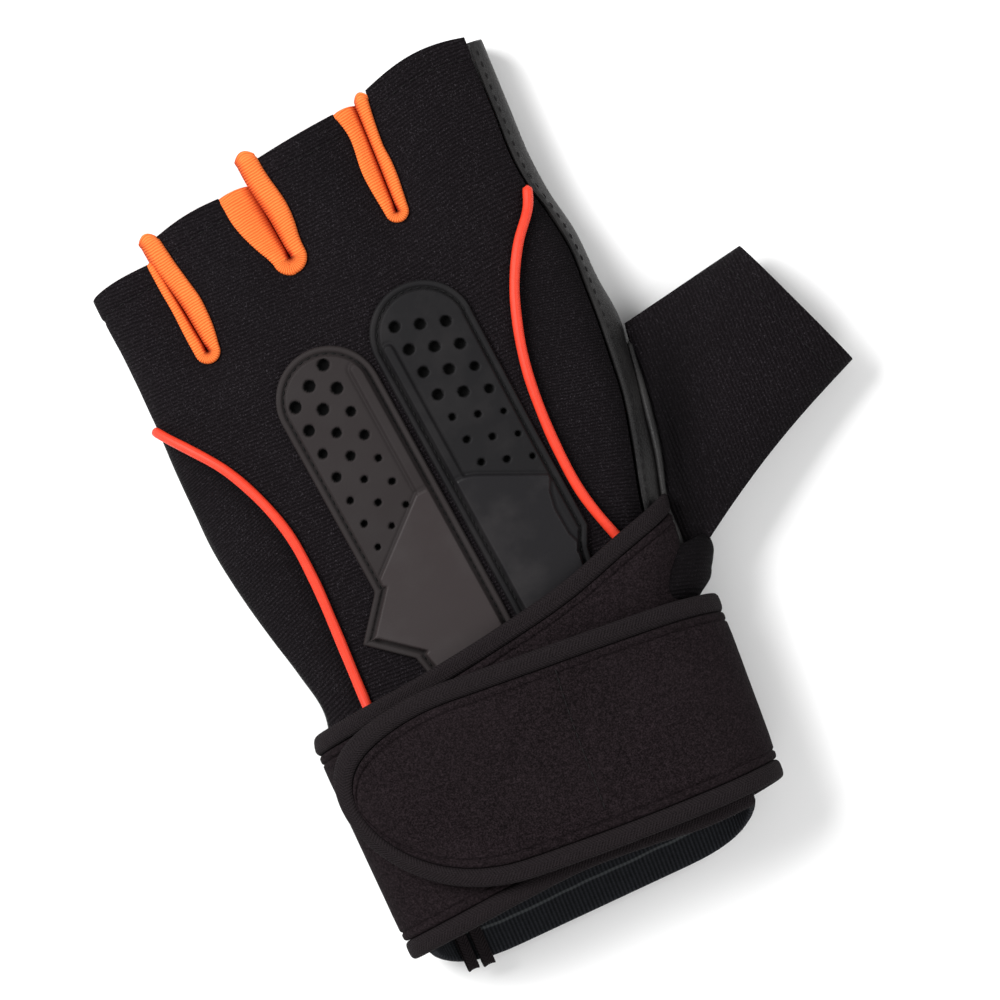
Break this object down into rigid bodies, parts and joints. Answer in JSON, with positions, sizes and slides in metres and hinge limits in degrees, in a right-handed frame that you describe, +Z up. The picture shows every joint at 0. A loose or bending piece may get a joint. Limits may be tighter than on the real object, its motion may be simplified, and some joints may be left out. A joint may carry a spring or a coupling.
{
  "type": "fingerless weightlifting glove",
  "caption": "Left-hand fingerless training glove with knit back, leather palm, moulded knuckle pads, stretch gussets between the fingers and a wound wrist strap.",
  "frame": {"origin": "centre of the glove's outline on the surface that it lies on", "axes": "+X to the thumb side, +Y from the wrist to the fingers, +Z up out of the back of the hand"},
  "size_m": [0.1546, 0.198, 0.0378],
  "materials": {
    "black_knit": "ribbed polyester knit, matt",
    "black_leather": "smooth black leather, satin",
    "orange_stretch": "bright orange ribbed stretch fabric",
    "red_orange_cord": "red-orange piping, smooth",
    "grey_rubber": "moulded dark grey rubber, satin",
    "strap_fabric": "brown-black laminated loop fabric, matt",
    "binding_tape": "brown-black woven binding tape",
    "cuff_elastic": "green-black ribbed elastic"
  },
  "bodies": {
    "root": {"back_panel": "black_knit", "side_panel_little": "black_knit", "side_panel_index": "black_knit", "palm_panel": "black_leather", "gusset_middle_index": "orange_stretch", "gusset_ring_middle": "orange_stretch", "gusset_little_ring": "orange_stretch", "thumb_stall": "black_knit", "thumb_welt": "black_leather", "piping_little": "red_orange_cord", "piping_index": "red_orange_cord", "pad_little": "grey_rubber", "pad_index": "grey_rubber", "cuff": "cuff_elastic", "cuff_tape_1": "binding_tape", "cuff_tape_2": "binding_tape", "wrist_strap": "strap_fabric", "strap_binding": "binding_tape"}
  },
  "joints": []
}
